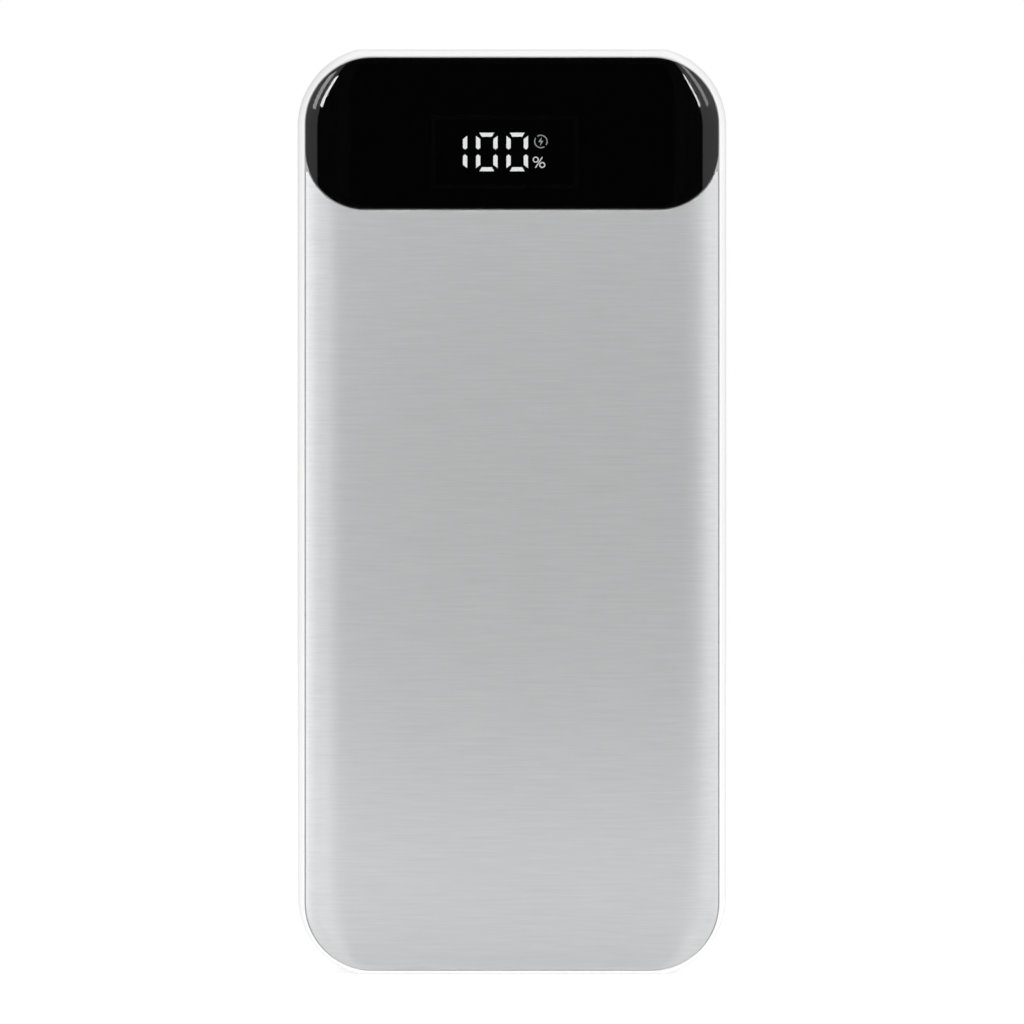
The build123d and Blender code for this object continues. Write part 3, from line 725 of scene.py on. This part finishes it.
# ---- materials ----
class Nodes:
    """A material and its Principled shader, with short ways to add patterns."""

    def __init__(self, name, colour, roughness, metallic=0.0):
        self.material = bpy.data.materials.new(name)
        self.material.use_nodes = True
        self.tree = self.material.node_tree
        self.shader = self.tree.nodes["Principled BSDF"]
        self.set("Base Color", (*colour, 1.0))
        self.set("Roughness", roughness)
        self.set("Metallic", metallic)
        self.place = self.tree.nodes.new("ShaderNodeTexCoord").outputs["Object"]
        self.height = None

    def set(self, socket, value):
        self.shader.inputs[socket].default_value = value

    def link(self, output, socket):
        self.tree.links.new(output, socket)

    def noise(self, per_mm, detail=2.0):
        """Noise from 0 to 1 with this many features per millimetre along X, Y and Z."""
        scaled = self.tree.nodes.new("ShaderNodeVectorMath")
        scaled.operation = "MULTIPLY"
        scaled.inputs[1].default_value = [count / MM for count in per_mm]
        self.link(self.place, scaled.inputs[0])
        texture = self.tree.nodes.new("ShaderNodeTexNoise")
        texture.inputs["Scale"].default_value = 1.0
        texture.inputs["Detail"].default_value = detail
        self.link(scaled.outputs["Vector"], texture.inputs["Vector"])
        return texture.outputs["Fac"]

    def stretched(self, value, low, high, start=0.3, end=0.7):
        """A value's range from start to end, stretched over low to high."""
        node = self.tree.nodes.new("ShaderNodeMapRange")
        node.inputs["From Min"].default_value = start
        node.inputs["From Max"].default_value = end
        node.inputs["To Min"].default_value = low
        node.inputs["To Max"].default_value = high
        self.link(value, node.inputs["Value"])
        return node.outputs["Result"]

    def blend(self, value, dark, light):
        """Base colour that runs from dark to light with a value."""
        ramp = self.tree.nodes.new("ShaderNodeValToRGB")
        ramp.color_ramp.elements[0].position = 0.3
        ramp.color_ramp.elements[0].color = (*dark, 1.0)
        ramp.color_ramp.elements[1].position = 0.7
        ramp.color_ramp.elements[1].color = (*light, 1.0)
        self.link(value, ramp.inputs["Fac"])
        self.link(ramp.outputs["Color"], self.shader.inputs["Base Color"])

    def vary_roughness(self, value, low, high):
        self.link(self.stretched(value, low, high), self.shader.inputs["Roughness"])

    def bump(self, value, depth_mm):
        """Relief of this depth, on top of any there is."""
        node = self.tree.nodes.new("ShaderNodeBump")
        node.inputs["Strength"].default_value = 1.0
        node.inputs["Distance"].default_value = depth_mm * MM
        self.link(value, node.inputs["Height"])
        if self.height:
            self.link(self.height, node.inputs["Normal"])
        self.height = node.outputs["Normal"]
        self.link(self.height, self.shader.inputs["Normal"])


def tinted(colour, factor):
    return tuple(min(channel * factor, 1.0) for channel in colour)


def plain(name, colour, roughness, grain=1.5, depth=0.004):
    """Moulded or cast surface with a fine grain."""
    nodes = Nodes(name, colour, roughness)
    broad = nodes.noise((grain / 12,) * 3, 3.0)
    fine = nodes.noise((grain,) * 3, 4.0)
    nodes.blend(broad, tinted(colour, 0.94), tinted(colour, 1.06))
    nodes.vary_roughness(fine, roughness - 0.04, roughness + 0.05)
    nodes.bump(fine, depth)
    return nodes.material


def white_plastic(name):
    """Satin white plastic with a very fine spark texture."""
    nodes = Nodes(name, (0.77, 0.77, 0.77), 0.36)
    broad = nodes.noise((0.02, 0.02, 0.02), 2.0)
    fine = nodes.noise((5.0, 5.0, 5.0), 3.0)
    nodes.blend(broad, (0.76, 0.76, 0.765), (0.78, 0.78, 0.775))
    nodes.vary_roughness(fine, 0.33, 0.4)
    nodes.bump(fine, 0.0015)
    nodes.set("Specular IOR Level", 0.5)
    return nodes.material


def brushed_metal():
    """Aluminium brushed from side to side."""
    nodes = Nodes("brushed_panel", (0.595, 0.598, 0.605), 0.5, 1.0)
    long_lines = nodes.noise((0.1, 0.5, 2.6), 3.0)
    short_lines = nodes.noise((0.4, 1.0, 7.5), 2.0)
    lines = mixed(nodes, long_lines, short_lines, 0.5)
    nodes.blend(lines, (0.555, 0.558, 0.565), (0.635, 0.638, 0.645))
    nodes.vary_roughness(short_lines, 0.5, 0.6)
    nodes.bump(long_lines, 0.005)
    nodes.bump(short_lines, 0.003)
    nodes.set("Anisotropic", 0.5)
    nodes.set("Anisotropic Rotation", 0.25)
    tangent = nodes.tree.nodes.new("ShaderNodeTangent")
    tangent.direction_type = "RADIAL"
    tangent.axis = "Z"
    nodes.link(tangent.outputs["Tangent"], nodes.shader.inputs["Tangent"])
    return nodes.material


def mixed(nodes, first, second, share):
    """A value between two others."""
    node = nodes.tree.nodes.new("ShaderNodeMix")
    node.inputs["Factor"].default_value = share
    nodes.link(first, node.inputs["A"])
    nodes.link(second, node.inputs["B"])
    return node.outputs["Result"]


def smoked_lens():
    """Dark clear plastic."""
    nodes = Nodes("smoked_lens", (0.047, 0.047, 0.047), 0.015)
    nodes.set("Transmission Weight", 1.0)
    nodes.set("IOR", 1.49)
    ripple = nodes.noise((0.05, 0.05, 0.05), 1.0)
    nodes.bump(ripple, 0.002)
    return nodes.material


def glowing(name, colour, strength):
    """Resin with light behind it, a little brighter in some places than in others."""
    nodes = Nodes(name, tinted(colour, 0.8), 0.4)
    patches = nodes.noise((0.6, 0.6, 0.6), 1.0)
    nodes.blend(patches, tinted(colour, 0.75), tinted(colour, 0.85))
    nodes.set("Emission Color", (*colour, 1.0))
    nodes.set("Emission Strength", strength)
    return nodes.material


def circuit_board():
    """Green board with paler lines where the copper runs."""
    nodes = Nodes("circuit_board", (0.01, 0.12, 0.05), 0.35)
    tracks = nodes.tree.nodes.new("ShaderNodeTexVoronoi")
    tracks.feature = "DISTANCE_TO_EDGE"
    tracks.inputs["Scale"].default_value = 0.45 / MM
    nodes.link(nodes.place, tracks.inputs["Vector"])
    lines = nodes.stretched(tracks.outputs["Distance"], 0.7, 0.3, 0.02, 0.08)
    nodes.blend(lines, (0.01, 0.1, 0.04), (0.04, 0.24, 0.1))
    nodes.bump(nodes.noise((2.0, 2.0, 2.0), 2.0), 0.004)
    return nodes.material


def foil():
    """Crinkled metal foil of a pouch cell."""
    nodes = Nodes("cell_foil", (0.72, 0.72, 0.74), 0.3, 1.0)
    folds = nodes.noise((0.15, 0.15, 0.05), 4.0)
    nodes.blend(folds, (0.66, 0.66, 0.68), (0.78, 0.78, 0.8))
    nodes.vary_roughness(folds, 0.24, 0.36)
    nodes.bump(folds, 0.12)
    return nodes.material


def brushed_steel(name, colour):
    nodes = Nodes(name, colour, 0.28, 1.0)
    lines = nodes.noise((6.0, 6.0, 0.5), 2.0)
    nodes.blend(lines, tinted(colour, 0.92), tinted(colour, 1.06))
    nodes.vary_roughness(lines, 0.22, 0.34)
    nodes.bump(lines, 0.002)
    return nodes.material


def foam(name, colour):
    nodes = Nodes(name, colour, 0.95)
    pores = nodes.tree.nodes.new("ShaderNodeTexVoronoi")
    pores.inputs["Scale"].default_value = 3.0 / MM
    nodes.link(nodes.place, pores.inputs["Vector"])
    # painted shade: each pore is coloured darker towards its middle, where the bump below sinks it deepest
    depth = nodes.stretched(pores.outputs["Distance"], 0.3, 0.7, 0.0, 0.8)
    nodes.blend(depth, tinted(colour, 0.6), tinted(colour, 1.3))
    nodes.bump(pores.outputs["Distance"], 0.08)
    return nodes.material


def slot_materials():
    """One material for each of the record's slots."""
    return {
        "white_case": white_plastic("white_case"),
        "brushed_panel": brushed_metal(),
        "smoked_lens": smoked_lens(),
        "black_tape": plain("black_tape", (0.012, 0.012, 0.012), 0.7, grain=2.0, depth=0.006),
        "steel_screws": brushed_steel("steel_screws", (0.6, 0.6, 0.6)),
        "display_resin": plain("display_resin", (0.006, 0.006, 0.007), 0.6, grain=3.0),
        "lit_resin": glowing("lit_resin", (0.98, 1.0, 1.0), 17.0),
        "unlit_resin": plain("unlit_resin", (0.02, 0.02, 0.022), 0.5, grain=3.0),
        "symbol_resin": glowing("symbol_resin", (0.98, 1.0, 1.0), 12.0),
        "dim_resin": glowing("dim_resin", (0.95, 1.0, 0.98), 6.0),
        "circuit_board": circuit_board(),
        "black_foam": foam("black_foam", (0.03, 0.03, 0.03)),
        "amber_ribbon": plain("amber_ribbon", (0.6, 0.25, 0.04), 0.3, grain=0.8),
        "cream_plastic": plain("cream_plastic", (0.78, 0.72, 0.58), 0.45),
        "ferrite": plain("ferrite", (0.07, 0.07, 0.075), 0.65, grain=4.0, depth=0.02),
        "chip_resin": plain("chip_resin", (0.02, 0.02, 0.022), 0.55, grain=5.0, depth=0.008),
        "capacitor_ceramic": plain("capacitor_ceramic", (0.42, 0.27, 0.15), 0.5),
        "capacitor_can": brushed_steel("capacitor_can", (0.78, 0.78, 0.8)),
        "socket_steel": brushed_steel("socket_steel", (0.62, 0.62, 0.63)),
        "white_tongue": plain("white_tongue", (0.8, 0.8, 0.79), 0.42),
        "black_tongue": plain("black_tongue", (0.015, 0.015, 0.015), 0.45),
        "gold_contacts": brushed_steel("gold_contacts", (0.95, 0.68, 0.3)),
        "white_button": white_plastic("white_button"),
        "switch_plastic": plain("switch_plastic", (0.02, 0.02, 0.02), 0.5),
        "cell_foil": foil(),
        "nickel_strip": brushed_steel("nickel_strip", (0.66, 0.63, 0.57)),
        "sensor_resin": plain("sensor_resin", (0.04, 0.03, 0.025), 0.25),
        "sensor_leads": brushed_steel("sensor_leads", (0.75, 0.75, 0.75)),
    }


def paint_cad_nodes(materials):
    for row in frame["record"]["subparts"]:
        slots = frame["nodes"][row["node"]].material_slots
        for place in slots:
            place.material = materials[row["material_slot"]]


# ---- light, floor and camera ----
FLOOR_HALF = 3.0
FLOOR_GLOW = 0.34
LEFT_TO_RIGHT = (0.77, 0.88)  # brightness of the studio from one side to the other
FRONT_TO_BACK = (1.0, 0.62)
BELOW_TO_ABOVE = (0.75, 1.15)
DARK_LEVEL = 0.03
DARK_HALF_ANGLE = 44.0
DARK_TURN = 5.0  # how far the dark patch lies to the left of the camera
DARK_EDGE = 1.5


def product(tree, factors):
    """The outputs of several nodes, multiplied together."""
    result = factors[0]
    for factor in factors[1:]:
        node = tree.nodes.new("ShaderNodeMath")
        node.operation = "MULTIPLY"
        tree.links.new(result, node.inputs[0])
        tree.links.new(factor, node.inputs[1])
        result = node.outputs["Value"]
    return result


def along(tree, way):
    """How much a direction of view points along another direction, from -1 to 1."""
    place = tree.nodes.new("ShaderNodeTexCoord")
    share = tree.nodes.new("ShaderNodeVectorMath")
    share.operation = "DOT_PRODUCT"
    share.inputs[1].default_value = Vector(way).normalized()
    tree.links.new(place.outputs["Generated"], share.inputs[0])
    return share.outputs["Value"]


def faded(tree, value, start, end, low, high):
    """A value's range from start to end, turned into low to high with soft ends."""
    node = tree.nodes.new("ShaderNodeMapRange")
    node.interpolation_type = "SMOOTHSTEP"
    for socket, number in zip(node.inputs[1:5], (start, end, low, high)):
        socket.default_value = number
    tree.links.new(value, node.inputs["Value"])
    return node.outputs["Result"]


def white_background(tree, strength):
    node = tree.nodes.new("ShaderNodeBackground")
    node.inputs["Color"].default_value = (1.0, 1.0, 1.0, 1.0)
    tree.links.new(strength, node.inputs["Strength"])
    return node


def add_world():
    """A bright studio with a dark patch round the camera. The camera itself sees a white backdrop."""
    world = bpy.data.worlds.new("studio")
    bpy.context.scene.world = world
    world.use_nodes = True
    tree = world.node_tree
    tree.nodes.clear()
    turn = math.radians(DARK_TURN)
    towards_camera = along(tree, (-math.sin(turn), -math.cos(turn), 0))
    outer = math.cos(math.radians(DARK_HALF_ANGLE + DARK_EDGE))
    inner = math.cos(math.radians(DARK_HALF_ANGLE - DARK_EDGE))
    room = faded(tree, towards_camera, outer, inner, 1.0, DARK_LEVEL)
    sideways = faded(tree, along(tree, (1, 0, 0)), -1.0, 1.0, *LEFT_TO_RIGHT)
    behind = faded(tree, along(tree, (0, 1, 0)), 0.2, 1.0, *FRONT_TO_BACK)
    upwards = faded(tree, along(tree, (0, 0, 1)), -1.0, 1.0, *BELOW_TO_ABOVE)
    studio = white_background(tree, product(tree, [room, sideways, behind, upwards]))
    backdrop = white_background(tree, faded(tree, along(tree, (0, 1, 0)), 0.8, 0.97, 0.8, 1.0))
    rays = tree.nodes.new("ShaderNodeLightPath")
    choice = tree.nodes.new("ShaderNodeMixShader")
    output = tree.nodes.new("ShaderNodeOutputWorld")
    tree.links.new(rays.outputs["Is Camera Ray"], choice.inputs["Fac"])
    tree.links.new(studio.outputs["Background"], choice.inputs[1])
    tree.links.new(backdrop.outputs["Background"], choice.inputs[2])
    tree.links.new(choice.outputs["Shader"], output.inputs["Surface"])


def add_softbox(name, away, around, distance, size, brightness, level=LENGTH / 2):
    """Rectangular light that faces the object from a distance in metres.

    away is its angle from the camera's line of sight, negative to the left, and around its angle
    above the horizontal, both in degrees. Its width runs along the first, its height along the second.
    """
    out = math.radians(away)
    rise = math.radians(around)
    way = Vector((math.sin(out) * math.cos(rise), -math.cos(out), abs(math.sin(out)) * math.sin(rise)))
    across = Vector((-math.sin(rise) * math.copysign(1, away), 0, math.cos(rise)))
    width, height = size
    light = bpy.data.lights.new(name, "AREA")
    light.shape = "RECTANGLE"
    light.size = width
    light.size_y = height
    light.energy = brightness * math.pi * width * height
    lamp = bpy.data.objects.new(name, light)
    target = Vector((0, 0, level * MM))
    lamp.matrix_world = facing(target + way * distance, way, across)
    lamp.visible_camera = False
    bpy.context.scene.collection.objects.link(lamp)
    return lamp


def only_on(lamps, *pieces):
    """Makes lights fall on these pieces alone."""
    lit = bpy.data.collections.new("lit_pieces")
    for piece in pieces:
        lit.objects.link(piece)
    for lamp in lamps:
        lamp.light_linking.receiver_collection = lit


def facing(spot, back, up):
    """Placement whose Z axis points along back and whose Y axis lies along up."""
    side = up.cross(back).normalized()
    rows = Matrix((side, back.cross(side), back)).transposed().to_4x4()
    return Matrix.Translation(spot) @ rows


def add_floor():
    """White paper that glows a little, so that it looks as bright as the backdrop."""
    mesh = bpy.data.meshes.new("floor")
    corners = [(x * FLOOR_HALF, y * FLOOR_HALF, 0) for x, y in ((-1, -1), (1, -1), (1, 1), (-1, 1))]
    mesh.from_pydata(corners, [], [(0, 1, 2, 3)])
    nodes = Nodes("floor_paper", (0.9, 0.9, 0.9), 0.85)
    nodes.blend(nodes.noise((0.002, 0.002, 0.002), 2.0), (0.89, 0.89, 0.89), (0.91, 0.91, 0.91))
    nodes.set("Emission Color", (1.0, 1.0, 1.0, 1.0))
    nodes.set("Emission Strength", FLOOR_GLOW)
    mesh.materials.append(nodes.material)
    floor = bpy.data.objects.new("floor", mesh)
    bpy.context.scene.collection.objects.link(floor)


CAMERA_DISTANCE = 1.5
SEEN_HEIGHT = 0.1666  # of the plane through the front face
CAMERA_Z = 0.0752


def add_camera():
    data = bpy.data.cameras.new("camera")
    data.sensor_width = 36.0
    data.lens = data.sensor_width * CAMERA_DISTANCE / SEEN_HEIGHT
    data.clip_end = 20.0
    camera = bpy.data.objects.new("camera", data)
    camera.location = (0, SKIN_Y * MM - CAMERA_DISTANCE, CAMERA_Z)
    camera.rotation_euler = (math.pi / 2, 0, 0)
    bpy.context.scene.collection.objects.link(camera)
    bpy.context.scene.camera = camera


# ---- assembly ----
def add_piece(name, mesh, materials, body, node, slot):
    """New piece that stands in for a CAD node and moves with its body."""
    piece = finished(name, mesh, materials[slot])
    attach(piece, body)
    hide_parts(node)
    return piece


def add_case(materials):
    frame_shape = changed(frame_mesh(), *frame_details())
    shell_shape = changed(shell_mesh(), *shell_details())
    return [
        add_piece("white_front_frame", frame_shape, materials, "case", "front_frame", "white_case"),
        add_piece("white_back_shell", shell_shape, materials, "case", "back_shell", "white_case"),
    ]


def add_shared_lights():
    add_softbox("left_softbox", -67, 26, 1.2, (0.25, 0.27), 5.5)
    add_softbox("right_softbox", 62, 34.5, 1.2, (0.2, 0.5), 4.0)
    add_softbox("low_strip", 0.01, 0, 0.07, (0.2, 0.01), 2.1, 9.0)


def add_lens_lights(lens):
    left = add_softbox("left_streak", -48, 25.5, 1.2, (0.14, 0.108), 19.0)
    right = add_softbox("right_streak", 41.5, 26.5, 1.2, (0.08, 0.1), 17.0)
    only_on([left, right], lens)


def add_panel_lights(panel):
    """Strips beside and above the panel, which shade its rolled sides and its upper edge."""
    left = add_softbox("left_side_strip", -80, 0, 0.06, (0.012, 0.17), 1.15)
    broad = add_softbox("left_front_strip", -46, 0, 0.065, (0.014, 0.17), 0.65)
    right = add_softbox("right_side_strip", 80, 0, 0.06, (0.012, 0.17), 0.6)
    upper = add_softbox("upper_strip", 50, 90, 0.09, (0.012, 0.2), 8.0, 135.0)
    only_on([left, broad, right, upper], panel)


def add_case_light(pieces):
    """Light from the front, which whitens the narrow border."""
    front = add_softbox("front_softbox", 0.01, 0, 1.5, (0.3, 0.3), 45.0)
    front.visible_glossy = False
    only_on([front], *pieces)


def main():
    add_camera()
    add_world()
    add_floor()
    materials = slot_materials()
    paint_cad_nodes(materials)
    panel = add_piece("brushed_front_panel", panel_sheet(), materials, "case", "front_panel", "brushed_panel")
    lens = add_piece("smoked_display_lens", lens_sheet(), materials, "case", "display_lens", "smoked_lens")
    case = add_case(materials)
    add_piece("side_push_button", button_mesh(), materials, "button", "power_button", "white_button")
    add_shared_lights()
    add_lens_lights(lens)
    add_panel_lights(panel)
    add_case_light(case)
    bpy.context.scene.view_settings.view_transform = "Standard"


main()
